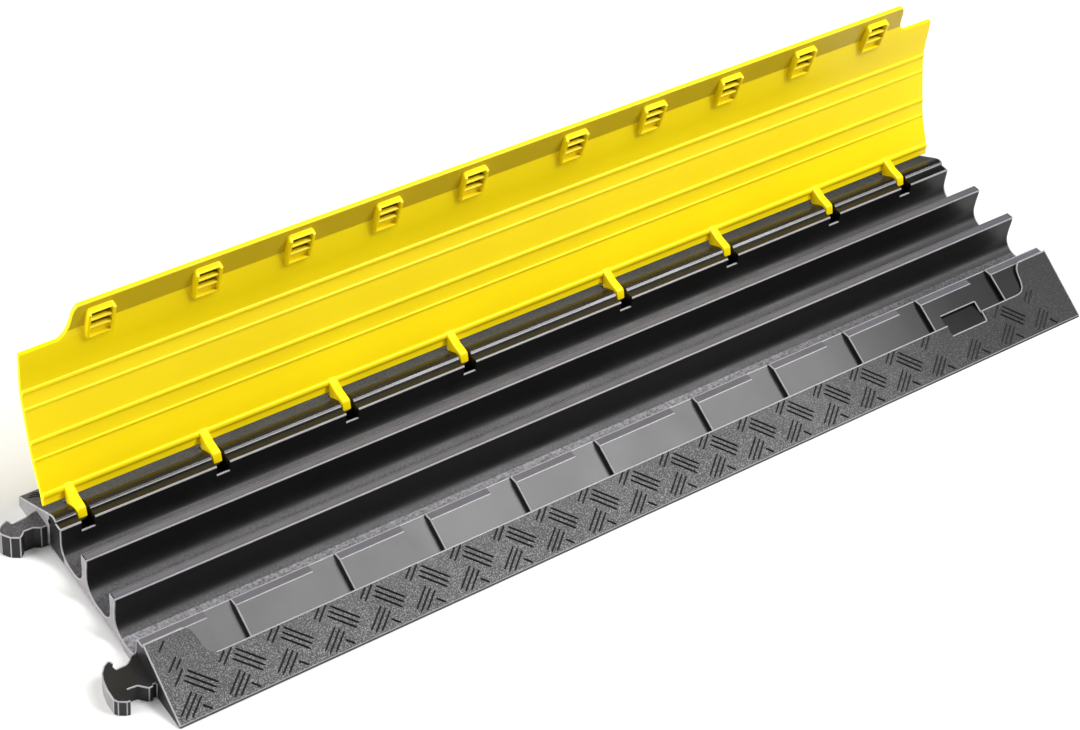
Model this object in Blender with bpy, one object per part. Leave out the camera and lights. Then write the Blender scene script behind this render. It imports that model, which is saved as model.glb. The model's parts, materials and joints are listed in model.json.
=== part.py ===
"""Floor cord cover: a three-channel rubber base with a hinged lid, standing open.

Frame: metres, +Z up. X runs along the cover, from its tongue end (-X) to its socket end (+X).
Y runs across it, from the front toe (-Y) to the back toe (+Y). The floor is Z = 0.
In this file a section point is (y, z) in millimetres, with y measured from the front toe.
"""

import math

import bmesh
import bpy
from mathutils import Matrix, Vector

MM = 0.001

# Driving dimensions, in millimetres
LENGTH = 1000.0
WIDTH = 282.0
TONGUE_REACH = 38.5

# The front ramp
TOE_HEIGHT = 2.5
RAMP_TOP_Y = 61.6
RAMP_TOP_Z = 40.2
RAMP_SLOPE = (RAMP_TOP_Z - TOE_HEIGHT) / RAMP_TOP_Y

# The ledge that carries the lid's front flange
LEDGE_Z = 36.4
LEDGE_INNER_Y = 72.3
SEAT_TOP_Y = 63.2
SEAT_FOOT_Y = 36.6
SEAT_SLOPE = math.tan(math.radians(27.5))
SHOULDER = ((31.0, 64.5), (36.5, 61.5), (40.3, 58.6), (42.8, 54.6), (43.9, 50.0), (44.6, 45.5),
            (46.4, 41.0), (49.5, 38.2), (53.5, 36.9), (58.5, SEAT_FOOT_Y))
POCKET_DEPTH = 6.2
POCKET_WIDTH = 27.5
CLIP_X = (73.0, 173.0, 263.5, 352.5, 443.0, 553.5, 643.5, 734.0, 825.0, 916.5)
FINGER_X = (852.0, 896.5)
FINGER_Y = (27.5, 47.5)
FINGER_DEPTH = 4.4

# The channels and the ribs between them
RIB_TOP_Z = 47.3
RIB_TOP_HALF = 4.3
RIB_WAIST_HALF = 3.5
RIB_WAIST_Z = 32.0
RIB_Y = (113.1, 162.0)
RIB_EDGE = 0.9
FLOOR_Z = 9.5
FLOOR_CORNER = 15.0
WALL_Y = 203.6
UNDERSIDE_Z = 5.0
UNDERSIDE_Y = (95.0, 267.0)

# The hinge ridge and the back ramp
HINGE_Y = 222.8
HINGE_Z = 32.8
LIP_Z = 41.2
STEP_Y = 212.4
CREST = ((STEP_Y, 43.0), (214.2, 44.5), (217.5, 45.1), (221.0, 43.9), (225.0, 41.9))
BACK_TOE_HEIGHT = 11.4
SLOT_RADIUS = 17.9
SLOT_WIDTH = 13.0
SLOT_OFFSET_X = 1.2
SLOT_BACK_CORNER = (230.8, 20.8)
NOTCH_Y = (202.0, 212.0)
NOTCH_Z = 30.4
ROD_RADIUS = 3.0
ROD_CLEARANCE = 0.4
ROD_INSET = 9.0

# The lid
OPEN_ANGLE = 105.3
LID_THICKNESS = 4.2
EDGE_CHAMFER = 2.4
PLATE_END_Y = 63.2
BEND = (56.0, 35.2)
FLANGE_END = (30.3, 22.6)
FLANGE_REACH_Y = 28.5
LID_X = (0.6, 998.4)
SHOULDER_GAP = 2.3
STIFFENERS = ((103.2, 2.1, 1.6), (120.2, 1.5, 1.2), (152.2, 2.1, 1.6), (169.0, 1.5, 1.2), (199.8, 2.2, 1.5))
ARM_X = (25.0, 154.5, 285.5, 411.5, 589.5, 718.5, 848.5, 942.5)
ARM_WIDTH = 8.6
ARM_TOP = ((240.5, 58.0), (225.5, 50.0), (215.6, 47.4), (213.6, 46.6), (212.6, 45.0), (210.6, 38.0))
ARM_EYE_RADIUS = 8.0
ARM_EYE_ANGLES = (196.0, 340.0)
ARM_ROOT_BOTTOM = (237.0, 42.2)
CLIP_WIDTH = 25.0
CLIP_PROFILE = ((32.3, 24.2), (36.9, 25.2), (42.0, 22.2), (67.0, 34.5), (65.0, 38.5))

# The tongues at the left end and the sockets for the next cover's tongues
FRONT_TONGUE_HEIGHT = 17.0
REAR_TONGUE_HEIGHT = 24.5
SOCKET_CLEARANCE = 0.8

X_LEFT = -(LENGTH - TONGUE_REACH) / 2
Y_FRONT = -WIDTH / 2


def clear_scene():
    for old in list(bpy.data.objects):
        bpy.data.objects.remove(old, do_unlink=True)


def material(name, colour, roughness):
    made = bpy.data.materials.new(name)
    made.use_nodes = True
    shader = made.node_tree.nodes["Principled BSDF"]
    shader.inputs["Base Color"].default_value = (*colour, 1.0)
    shader.inputs["Roughness"].default_value = roughness
    return made


def place(x, y, z):
    """Millimetres from the front left corner to metres in the part's frame."""
    return Vector(((x + X_LEFT) * MM, (y + Y_FRONT) * MM, z * MM))


def new_object(name, bm, finish=None):
    """Put a mesh into the scene, closed and with its faces pointing out."""
    bmesh.ops.remove_doubles(bm, verts=bm.verts, dist=0.00002)
    bmesh.ops.recalc_face_normals(bm, faces=bm.faces)
    mesh = bpy.data.meshes.new(name)
    bm.to_mesh(mesh)
    bm.free()
    made = bpy.data.objects.new(name, mesh)
    bpy.context.collection.objects.link(made)
    if finish:
        mesh.materials.append(finish)
    return made


def add_prism(bm, low, high):
    """Add a prism between two matching rings of points."""
    ring_low = [bm.verts.new(point) for point in low]
    ring_high = [bm.verts.new(point) for point in high]
    bm.faces.new(ring_low)
    bm.faces.new(list(reversed(ring_high)))
    for i in range(len(low)):
        j = (i + 1) % len(low)
        bm.faces.new((ring_low[i], ring_high[i], ring_high[j], ring_low[j]))


def section_prism(section, x_low, x_high):
    """A (y, z) section carried along X."""
    bm = bmesh.new()
    add_prism(bm, [place(x_low, y, z) for y, z in section], [place(x_high, y, z) for y, z in section])
    return bm


def plan_prism(plan, z_low, z_high):
    """An (x, y) outline carried up from z_low to z_high; either may be a function of (x, y)."""
    def height(z, x, y):
        return z(x, y) if callable(z) else z

    bm = bmesh.new()
    add_prism(bm, [place(x, y, height(z_low, x, y)) for x, y in plan],
              [place(x, y, height(z_high, x, y)) for x, y in plan])
    return bm


def arc(centre, radius, start, end, steps):
    """Points on a circle in a section, from one angle to another, in degrees."""
    points = []
    for i in range(steps + 1):
        angle = math.radians(start + (end - start) * i / steps)
        points.append((centre[0] + radius * math.cos(angle), centre[1] + radius * math.sin(angle)))
    return points


def boolean(target, tool, operation):
    """Apply one Boolean and delete its tool."""
    step = target.modifiers.new(operation.lower(), "BOOLEAN")
    step.operation = operation
    step.solver = "EXACT"
    step.object = tool
    bpy.context.view_layer.update()
    result = target.evaluated_get(bpy.context.evaluated_depsgraph_get())
    mesh = bpy.data.meshes.new_from_object(result)
    target.modifiers.remove(step)
    old = target.data
    target.data = mesh
    mesh.name = old.name
    bpy.data.meshes.remove(old)
    bpy.data.objects.remove(tool, do_unlink=True)


def round_smooth(made, angle=35.0):
    made.data.shade_smooth()
    made.data.set_sharp_from_angle(angle=math.radians(angle))


def rib_side(rib_y, side):
    """One side of a rib, from the channel floor's corner up to the rib's top: flared, waisted, chamfered."""
    corner_y = rib_y + side * (RIB_WAIST_HALF + FLOOR_CORNER)
    corner = arc((corner_y, FLOOR_Z + FLOOR_CORNER), FLOOR_CORNER, -90, -90 - side * 90, 6)
    return corner + [
        (rib_y + side * RIB_WAIST_HALF, RIB_WAIST_Z),
        (rib_y + side * RIB_TOP_HALF, RIB_TOP_Z - 5.0),
        (rib_y + side * RIB_TOP_HALF, RIB_TOP_Z - RIB_EDGE),
        (rib_y + side * (RIB_TOP_HALF - RIB_EDGE), RIB_TOP_Z),
    ]


def base_section():
    """The base's outline across its width, counter-clockwise from the front toe."""
    lower = [(0.0, 0.0), (UNDERSIDE_Y[0], 0.0), (UNDERSIDE_Y[0] + 2.0, UNDERSIDE_Z),
             (UNDERSIDE_Y[1] - 2.0, UNDERSIDE_Z), (UNDERSIDE_Y[1], 0.0), (WIDTH, 0.0),
             (WIDTH, BACK_TOE_HEIGHT)]
    ridge = list(reversed(CREST)) + [(STEP_Y, LIP_Z), (WALL_Y + 0.8, LIP_Z), (WALL_Y, LIP_Z - 0.8)]
    back_corner = arc((WALL_Y - FLOOR_CORNER, FLOOR_Z + FLOOR_CORNER), FLOOR_CORNER, 0, -90, 6)
    middle = []
    for rib_y in reversed(RIB_Y):
        middle += rib_side(rib_y, 1) + list(reversed(rib_side(rib_y, -1)))
    front_wall_y = LEDGE_INNER_Y + 0.4
    front_corner = arc((front_wall_y + FLOOR_CORNER, FLOOR_Z + FLOOR_CORNER), FLOOR_CORNER, -90, -180, 6)
    ledge = [(LEDGE_INNER_Y, LEDGE_Z - 1.2), (LEDGE_INNER_Y - 1.2, LEDGE_Z),
             (RAMP_TOP_Y + 0.6, LEDGE_Z), (RAMP_TOP_Y + 0.4, RAMP_TOP_Z - 0.6), (RAMP_TOP_Y - 0.8, RAMP_TOP_Z - 0.3)]
    return lower + ridge + back_corner + middle + front_corner + ledge + [(0.0, TOE_HEIGHT)]


def seat_height(x, y):
    """The plane of the pads that carry the lid's flange."""
    return LEDGE_Z - SEAT_SLOPE * (SEAT_TOP_Y - y)


def pocket_height(x, y):
    return seat_height(x, y) - POCKET_DEPTH


def shoulder_plan(left):
    """An outline seen from above whose two ends follow the same line of points, mirrored."""
    return list(left) + [(LENGTH - x, y) for x, y in reversed(left)]


def cut_seat(base):
    """Lower the seat below the ramp, then sink the ten pockets and the finger recess into it."""
    boolean(base, new_object("seat_cutter", plan_prism(shoulder_plan(SHOULDER), seat_height, 60.0)), "DIFFERENCE")
    pockets = bmesh.new()
    foot = SEAT_FOOT_Y + 0.4
    for x in CLIP_X:
        half = POCKET_WIDTH / 2
        draft = 0.8
        low = [(x - half + draft, foot), (x + half - draft, foot),
               (x + half - draft, LEDGE_INNER_Y + 3.0), (x - half + draft, LEDGE_INNER_Y + 3.0)]
        top = [(x - half, foot), (x + half, foot), (x + half, LEDGE_INNER_Y + 3.0), (x - half, LEDGE_INNER_Y + 3.0)]
        add_prism(pockets, [place(a, b, pocket_height(a, b)) for a, b in low],
                  [place(a, b, seat_height(a, b) + 8.0) for a, b in top])
    boolean(base, new_object("pocket_cutter", pockets), "DIFFERENCE")

    def finger_floor(x, y):
        top = seat_height(x, FINGER_Y[1]) - FINGER_DEPTH
        foot = TOE_HEIGHT + RAMP_SLOPE * FINGER_Y[0]
        return foot + (top - foot) * (y - FINGER_Y[0]) / (FINGER_Y[1] - FINGER_Y[0])

    plan = [(FINGER_X[0], FINGER_Y[0]), (FINGER_X[1], FINGER_Y[0]), (FINGER_X[1], FINGER_Y[1]),
            (FINGER_X[0], FINGER_Y[1])]
    boolean(base, new_object("finger_cutter", plan_prism(plan, finger_floor, 60.0)), "DIFFERENCE")


def cut_hinge(base):
    """Bore the ridge for the rod, and open the eight slots and wall notches that the arms swing in."""
    slot = arc((HINGE_Y, HINGE_Z), SLOT_RADIUS, 20, 266, 22) + [SLOT_BACK_CORNER]
    notch = [(NOTCH_Y[0], NOTCH_Z), (NOTCH_Y[1], NOTCH_Z), (NOTCH_Y[1], 60.0), (NOTCH_Y[0], 60.0)]
    for name, ring in (("slot_cutter", slot), ("notch_cutter", notch)):
        cutter = bmesh.new()
        for x in ARM_X:
            low, high = x + SLOT_OFFSET_X - SLOT_WIDTH / 2, x + SLOT_OFFSET_X + SLOT_WIDTH / 2
            add_prism(cutter, [place(low, y, z) for y, z in ring], [place(high, y, z) for y, z in ring])
        boolean(base, new_object(name, cutter), "DIFFERENCE")
    bore = arc((HINGE_Y, HINGE_Z), ROD_RADIUS + ROD_CLEARANCE, 0, 360 - 360 / 16, 15)
    boolean(base, new_object("rod_cutter", section_prism(bore, -5.0, LENGTH - ROD_INSET)), "DIFFERENCE")


def front_tongue_plan():
    """The front connector from above: a wide T with hooked horns on a short neck."""
    return [(1.0, 37.0), (-0.6, 37.0), (-0.6, 38.6), (-3.6, 38.6), (-4.2, 36.8), (-7.6, 36.6),
            (-14.6, 43.6), (-23.4, 44.4), (-25.0, 42.2), (-25.6, 37.0), (-26.6, 32.6), (-29.4, 33.0),
            (-35.4, 36.6), (-37.6, 40.4), (-37.4, 52.0), (-35.6, 62.0), (-33.0, 69.0), (-28.0, 75.0),
            (-23.4, 77.6), (-21.0, 76.4), (-20.6, 73.6), (-22.4, 70.4), (-21.6, 67.2), (-11.2, 67.2),
            (-7.6, 69.8), (-4.4, 73.2), (1.0, 74.2)]


def rear_tongue_plan():
    """The rear connector from above: a narrower, taller T."""
    return [(1.0, 228.6), (-5.4, 228.6), (-11.0, 232.0), (-19.6, 232.2), (-22.0, 229.4), (-25.5, 226.8),
            (-32.6, 231.0), (-37.2, 238.0), (-38.5, 242.0), (-34.0, 247.4), (-27.2, 250.6), (-25.0, 248.6),
            (-24.4, 245.0), (-11.7, 246.0), (-4.0, 248.4), (1.0, 249.0)]


def grown(plan, by):
    """Push a counter-clockwise or clockwise outline outwards by a clearance."""
    area = sum(a[0] * b[1] - b[0] * a[1] for a, b in zip(plan, plan[1:] + plan[:1]))
    sign = 1.0 if area > 0 else -1.0
    moved = []
    for before, here, after in zip(plan[-1:] + plan[:-1], plan, plan[1:] + plan[:1]):
        first = Vector((here[0] - before[0], here[1] - before[1])).normalized()
        second = Vector((after[0] - here[0], after[1] - here[1])).normalized()
        normal = Vector((first.y + second.y, -first.x - second.x)) * sign
        normal = normal.normalized()
        stretch = 1.0 / max(0.6, normal.dot(Vector((first.y, -first.x)) * sign))
        moved.append((here[0] + normal.x * by * stretch, here[1] + normal.y * by * stretch))
    return moved


def add_connectors(base):
    """Join the two tongues to the left end and sink their sockets into the right end."""
    for plan, height in ((front_tongue_plan(), FRONT_TONGUE_HEIGHT), (rear_tongue_plan(), REAR_TONGUE_HEIGHT)):
        boolean(base, new_object("tongue", plan_prism(plan, 0.0, height)), "UNION")
        socket = [(x + LENGTH + 0.5, y) for x, y in grown(plan, SOCKET_CLEARANCE)]
        cutter = plan_prism(socket, -4.0, height + SOCKET_CLEARANCE)
        boolean(base, new_object("socket_cutter", cutter), "DIFFERENCE")


def build_base():
    rubber = material("black rubber", (0.011, 0.010, 0.010), 0.5)
    base = new_object("base", section_prism(base_section(), 0.0, LENGTH), rubber)
    cut_seat(base)
    cut_hinge(base)
    add_connectors(base)
    round_smooth(base)
    return base


def closed_inner():
    """The lid's inner face when shut, from the hinge edge over the ribs to the plate's front edge."""
    return [(211.3, 42.0), (199.0, 42.3), (191.0, 43.4), (182.0, 45.2), (172.0, 47.1), (164.0, 47.75),
            (140.0, 47.9), (112.0, 47.75), (102.0, 47.1), (88.0, 43.9), (75.0, 40.0), (PLATE_END_Y, 36.9)]


def offset_line(points, distance):
    """A line beside a line of points, on its left side for a positive distance."""
    moved = []
    for i, here in enumerate(points):
        before = points[max(0, i - 1)]
        after = points[min(len(points) - 1, i + 1)]
        along = Vector((after[0] - before[0], after[1] - before[1])).normalized()
        moved.append((here[0] - along.y * distance, here[1] + along.x * distance))
    return moved


def lid_section(flange):
    """The lid's outline when shut, with the bend and the front flange or without them."""
    inner = closed_inner() + list(flange)
    outer = offset_line(inner, -LID_THICKNESS)
    start = [(inner[0][0], inner[0][1] + EDGE_CHAMFER), (inner[0][0] - EDGE_CHAMFER, inner[0][1])]
    return start + inner[1:] + list(reversed(outer))


def stiffener(y, half, depth):
    """A small half-round rib under the lid's inner face, as a section."""
    inner = closed_inner()
    for (y0, z0), (y1, z1) in zip(inner, inner[1:]):
        if y1 <= y <= y0:
            z = z0 + (z1 - z0) * (y - y0) / (y1 - y0)
    return [(y + half, z + 1.0), (y + half, z), (y + half * 0.55, z - depth), (y - half * 0.55, z - depth),
            (y - half, z), (y - half, z + 1.0)]


def add_flange(lid):
    """Join the front flange. Its S-shaped ends clear the seat's shoulders and run on over the ramp."""
    back = SHOULDER[0][1]
    stretch = (back - FLANGE_REACH_Y) / (back - SEAT_FOOT_Y)
    left = [(x + SHOULDER_GAP, back - (back - y) * stretch) for x, y in SHOULDER]
    flange = new_object("flange", section_prism(lid_section((BEND, FLANGE_END)), left[0][0], LENGTH - left[0][0]))
    outline = new_object("outline", plan_prism(shoulder_plan(left), 10.0, 70.0))
    boolean(flange, outline, "INTERSECT")
    boolean(lid, flange, "UNION")


def add_stiffeners(lid, left, right):
    for y, half, depth in STIFFENERS:
        boolean(lid, new_object("stiffener", section_prism(stiffener(y, half, depth), left, right)), "UNION")


def add_clips(lid):
    """Ten clips standing out of the flange's inner face, their front ends sloped to drop into the pockets."""
    clips = bmesh.new()
    for x in CLIP_X:
        add_prism(clips, [place(x - CLIP_WIDTH / 2, y, z) for y, z in CLIP_PROFILE],
                  [place(x + CLIP_WIDTH / 2, y, z) for y, z in CLIP_PROFILE])
    boolean(lid, new_object("clips", clips), "UNION")


def turned_shut(points):
    """Section points of the open lid, turned about the hinge to where they are when it is shut."""
    cos, sin = math.cos(math.radians(OPEN_ANGLE)), math.sin(math.radians(OPEN_ANGLE))
    return [(HINGE_Y + (y - HINGE_Y) * cos - (z - HINGE_Z) * sin, HINGE_Z + (y - HINGE_Y) * sin + (z - HINGE_Z) * cos)
            for y, z in points]


def add_arms(lid):
    """Eight hooked arms: an eye round the rod, a head that reaches over the ridge, a root on the lid."""
    eye = arc((HINGE_Y, HINGE_Z), ARM_EYE_RADIUS, *ARM_EYE_ANGLES, 9)
    outline = turned_shut(list(ARM_TOP) + eye + [ARM_ROOT_BOTTOM])
    arms = bmesh.new()
    for x in ARM_X:
        add_prism(arms, [place(x - ARM_WIDTH / 2, y, z) for y, z in outline],
                  [place(x + ARM_WIDTH / 2, y, z) for y, z in outline])
    boolean(lid, new_object("arms", arms), "UNION")
    ring = arc((HINGE_Y, HINGE_Z), ROD_RADIUS + ROD_CLEARANCE, 0, 360 - 360 / 16, 15)
    boolean(lid, new_object("eye_cutter", section_prism(ring, 0.0, LENGTH)), "DIFFERENCE")


def build_lid():
    """The lid is shaped shut, then turned open about the hinge, with its origin on the hinge axis."""
    yellow = material("yellow moulding", (0.95, 0.74, 0.01), 0.4)
    left, right = LID_X
    lid = new_object("lid", section_prism(lid_section(()), left, right), yellow)
    add_flange(lid)
    add_stiffeners(lid, left, right)
    add_clips(lid)
    add_arms(lid)
    hinge = place(0.0, HINGE_Y, HINGE_Z)
    lid.data.transform(Matrix.Translation(-hinge))
    lid.data.transform(Matrix.Rotation(math.radians(-OPEN_ANGLE), 4, "X"))
    lid.location = hinge
    round_smooth(lid)
    return lid


def build_rod():
    """The rod that the arms turn on, slid in from the left end."""
    steel = material("rod steel", (0.35, 0.35, 0.36), 0.35)
    steel.node_tree.nodes["Principled BSDF"].inputs["Metallic"].default_value = 1.0
    ring = arc((HINGE_Y, HINGE_Z), ROD_RADIUS, 0, 360 - 360 / 16, 15)
    rod = new_object("hinge_rod", section_prism(ring, 2.0, LENGTH - ROD_INSET - 1.0), steel)
    round_smooth(rod)
    return rod


clear_scene()
build_base()
build_lid()
build_rod()
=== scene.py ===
# %% [markdown]
# # A floor cord cover, standing open
#
# The object is a long, low ramp that people and trolleys cross while cords lie safe inside it. A black
# rubber base holds three open channels, and a bright yellow lid turns on a rod along its back edge. Two
# hooked tongues at one end join the next cover.
#
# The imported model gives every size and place. This script keeps the shape of its rod, and builds pieces
# with finer edges, treads and finishes round the same shapes as its base and lid.

import json
import math

import bmesh
import bpy
import numpy as np
from mathutils import Matrix, Vector


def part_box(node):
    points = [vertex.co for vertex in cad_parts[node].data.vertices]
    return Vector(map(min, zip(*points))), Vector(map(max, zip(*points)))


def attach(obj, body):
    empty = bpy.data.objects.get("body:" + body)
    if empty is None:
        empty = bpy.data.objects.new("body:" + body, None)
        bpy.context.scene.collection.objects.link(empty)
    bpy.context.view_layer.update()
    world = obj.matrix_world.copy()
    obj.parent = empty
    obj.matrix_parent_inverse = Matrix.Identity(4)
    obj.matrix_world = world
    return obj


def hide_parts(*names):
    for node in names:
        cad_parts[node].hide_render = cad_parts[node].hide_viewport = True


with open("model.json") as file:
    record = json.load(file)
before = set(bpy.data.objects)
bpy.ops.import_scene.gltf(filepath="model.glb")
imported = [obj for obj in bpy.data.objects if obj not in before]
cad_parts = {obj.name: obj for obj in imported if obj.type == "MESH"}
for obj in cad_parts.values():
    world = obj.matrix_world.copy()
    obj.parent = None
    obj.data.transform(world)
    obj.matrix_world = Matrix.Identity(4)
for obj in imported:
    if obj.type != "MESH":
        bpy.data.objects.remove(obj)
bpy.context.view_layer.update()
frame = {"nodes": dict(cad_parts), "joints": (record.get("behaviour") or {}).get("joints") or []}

# %% [markdown]
# ## One ruler for everything
#
# All shapes below are written in millimetres, with x from the base's left end, y from its front toe and z
# from the floor, because the real thing is measured that way. One function turns them into the frame's
# metres. The lid is written as it lies when shut and then turned open about the hinge that the frame gives,
# so it is sure to close onto the base.

# %% Millimetres to the frame, and the lid's turn
TONGUE_REACH = 38.5
base_low, base_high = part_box("base")
hinge = frame["joints"][0]
LENGTH = 1000 * (base_high.x - base_low.x) - TONGUE_REACH
WIDTH = 1000 * (base_high.y - base_low.y)
HINGE_Y = 1000 * (hinge["pos_m"][1] - base_low.y)
HINGE_Z = 1000 * hinge["pos_m"][2]
OPEN_ANGLE = hinge["range_deg"][1]


def place(x, y, z):
    """Arrays of millimetres from the front left corner become points in metres in the frame."""
    x, y, z = np.broadcast_arrays(x, y, z)
    return np.stack([x / 1000 + base_low.x + TONGUE_REACH / 1000, y / 1000 + base_low.y, z / 1000], -1)


def opened(y, z):
    """A shut section point turned about the hinge: its offset from it, rotated by the opening angle."""
    turn = math.radians(-OPEN_ANGLE)
    dy, dz = y - HINGE_Y, z - HINGE_Z
    return (HINGE_Y + dy * math.cos(turn) - dz * math.sin(turn),
            HINGE_Z + dy * math.sin(turn) + dz * math.cos(turn))


print(f"base {LENGTH:.0f} x {WIDTH:.0f} mm, hinge at y {HINGE_Y:.1f} z {HINGE_Z:.1f} mm,",
      f"opens {OPEN_ANGLE:.1f} degrees")

# %% [markdown]
# ## Camera
#
# The photograph looks down at the cover from its front left with a long lens. A camera could be aimed at
# a target by a constraint, but its roll would then be lost, so its three axes are written out. The small
# shift stands for the way the picture was trimmed.

# %% The camera
CAMERA_PLACE = (-632.3, -1130.0, 1608.6)
CAMERA_RIGHT = Vector((0.82170, -0.56400, 0.08200))
CAMERA_UP = Vector((0.31775, 0.57280, 0.75560))
LENS = 84.70
SHIFT = (0.0418, -0.0913)

camera = bpy.data.objects.new("camera", bpy.data.cameras.new("camera"))
bpy.context.scene.collection.objects.link(camera)
right = CAMERA_RIGHT.normalized()
back = right.cross(CAMERA_UP).normalized()
up = back.cross(right)
axes = Matrix((right, up, back)).transposed().to_4x4()
camera.matrix_world = Matrix.Translation(Vector(place(*CAMERA_PLACE).tolist())) @ axes
camera.data.sensor_width = 36.0
camera.data.lens = LENS
camera.data.shift_x, camera.data.shift_y = SHIFT
bpy.context.scene.camera = camera
print("camera", [round(value, 3) for value in camera.location], "lens", LENS)

# %% [markdown]
# ## Colours and shader nodes
#
# Paint charts and pictures give colours as sRGB hex codes, but a shader works in linear light. One function
# converts them. Another adds any shader node with its settings, values and links, and a few more stand for
# the steps that every finish needs: a pattern, a range, and one colour laid over another.

# %% Helpers for finishes
def colour(code):
    """A hex code such as "#ffcc00" as linear red, green, blue and full opacity."""
    parts = [int(code[i:i + 2], 16) / 255 for i in (1, 3, 5)]
    return [c / 12.92 if c <= 0.04045 else ((c + 0.055) / 1.055) ** 2.4 for c in parts] + [1.0]


def add_node(tree, kind, settings=None, values=None, links=None):
    """One shader node: settings are its properties, values its sockets' numbers, links what comes in."""
    made = tree.nodes.new(kind)
    for name, value in (settings or {}).items():
        setattr(made, name, value)
    for name, value in (values or {}).items():
        made.inputs[name].default_value = value
    for name, socket in (links or {}).items():
        tree.links.new(socket, made.inputs[name])
    return made


def new_material(name):
    """An empty node material with its output, ready for a shader."""
    made = bpy.data.materials.new(name)
    made.use_nodes = True
    made.node_tree.nodes.clear()
    return made, made.node_tree, add_node(made.node_tree, "ShaderNodeOutputMaterial")


print("a middle grey, #808080, is", round(colour("#808080")[0], 3), "in linear light")

# %% Patterns, ranges and layers
def pattern(tree, where, size_mm, detail):
    """A soft random pattern with blotches of about this size, as a share from 0 to 1."""
    return add_node(tree, "ShaderNodeTexNoise", values={"Scale": 1000 / size_mm, "Detail": detail},
                    links={"Vector": where}).outputs["Fac"]


def ranged(tree, value, low, high, to_low=0.0, to_high=1.0):
    """A value between two limits carried over to two others, and held at the ends."""
    limits = {"From Min": low, "From Max": high, "To Min": to_low, "To Max": to_high}
    return add_node(tree, "ShaderNodeMapRange", values=limits, links={"Value": value}).outputs["Result"]


def product(tree, first, *others):
    """Shares multiplied, so that a layer lies only where all of them allow it."""
    for other in others:
        made = add_node(tree, "ShaderNodeMath", {"operation": "MULTIPLY"})
        tree.links.new(first, made.inputs[0])
        tree.links.new(other, made.inputs[1])
        first = made.outputs["Value"]
    return first


def laid_over(tree, under, share, code):
    """A colour laid over another, which may be a hex code or a socket, by a share that varies."""
    made = add_node(tree, "ShaderNodeMix", {"data_type": "RGBA"}, links={"Factor": share})
    if isinstance(under, str):
        made.inputs["A"].default_value = colour(under)
    else:
        tree.links.new(under, made.inputs["A"])
    made.inputs["B"].default_value = colour(code)
    return made.outputs["Result"]


def pressed_in(tree, height, distance_mm):
    """A bump of this height for a pattern, as a normal."""
    return add_node(tree, "ShaderNodeBump", values={"Distance": distance_mm / 1000, "Strength": 1.0},
                    links={"Height": height}).outputs["Normal"]


print("steps of a finish:", *(step.__name__ for step in (pattern, ranged, product, laid_over, pressed_in)))

# %% [markdown]
# ## Moulded rubber
#
# The base is vulcanised black rubber, pressed hot in a steel mould. It is nearly black in itself, and what
# the eye sees is its sheen: satin where the mould was smooth, broken into grey specks where the mould was
# grained so that feet don't slip. The finishes share one recipe and differ in grain, gloss and wear, because
# they are one material. Real grain is about half a millimetre, finer than a pixel here, so it is drawn three
# to four times as coarse.
#
# Two layers lie over the black. What faces up gets a pale grey in fine patches: partly dust, partly a painted
# sheen from the light above. The crowns of the grain are painted pale as glints, more low down than high up.
# Both thin out towards the right end, and so does the shine, a painted shade where that end gets less light.
# The places below are in the frame's metres.

# %% The rubber finishes
RUBBER_DARK = "#100f0f"
RUBBER_LIGHT = "#1c1b1b"
RUBBER_IOR = 1.6
# dust and painted sheen: the grey laid over faces that look up
DUST_AND_SHEEN_GREY = "#6b696c"
# painted highlight: the brighter grey of the band on the front channel's floor
HIGHLIGHT_GREY = "#a3a1a5"
# painted glints: the pale grey of the specks on the grain
SPECK_GLINT_GREY = "#8a888b"
CLOUD_EDGE = (0.3, 0.7)
GLOSS_CHANGE = (-0.04, 0.05)
DUST_AND_SHEEN_MM = 2.2
DUST_AND_SHEEN_EDGE = (0.1, 0.8)
DUST_AND_SHEEN_FACING = (0.72, 0.99)
DUST_AND_SHEEN_X = (0.15, 0.38)
DUST_AND_SHEEN_LEFT = 0.4
SPECK_MM = 1.2
SPECK_EDGE = (0.48, 0.68)
SPECK_HEIGHT = (0.040, 0.004)
SPECK_HIGH_UP = 0.35
SPECK_X = (0.05, 0.45)
SPECKS_LEFT = 0.2
# painted shade: the shine fades towards the right end, which gets less light
SHINE_FADE_X = (0.22, 0.40)


def dust_and_sheen_share(tree, coordinates, spot, most):
    """Dust and a painted sheen: more the more a face looks up, in fine patches, less towards the right end.
    """
    facing = add_node(tree, "ShaderNodeSeparateXYZ", links={"Vector": coordinates["Normal"]}).outputs
    upward = ranged(tree, facing["Z"], *DUST_AND_SHEEN_FACING)
    patches = ranged(tree, pattern(tree, coordinates["Object"], DUST_AND_SHEEN_MM, 2.0), *DUST_AND_SHEEN_EDGE, 0.0, most)
    return product(tree, upward, ranged(tree, spot["X"], *DUST_AND_SHEEN_X, 1.0, DUST_AND_SHEEN_LEFT), patches)


def speck_share(tree, coordinates, spot, most):
    """Pale specks as painted glints: the high points of a fine pattern, fewer high up and towards the right
    end.
    """
    low = ranged(tree, spot["Z"], *SPECK_HEIGHT, SPECK_HIGH_UP * most, most)
    crowns = ranged(tree, pattern(tree, coordinates["Object"], SPECK_MM, 1.0), *SPECK_EDGE)
    return product(tree, low, ranged(tree, spot["X"], *SPECK_X, 1.0, SPECKS_LEFT), crowns)


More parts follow.
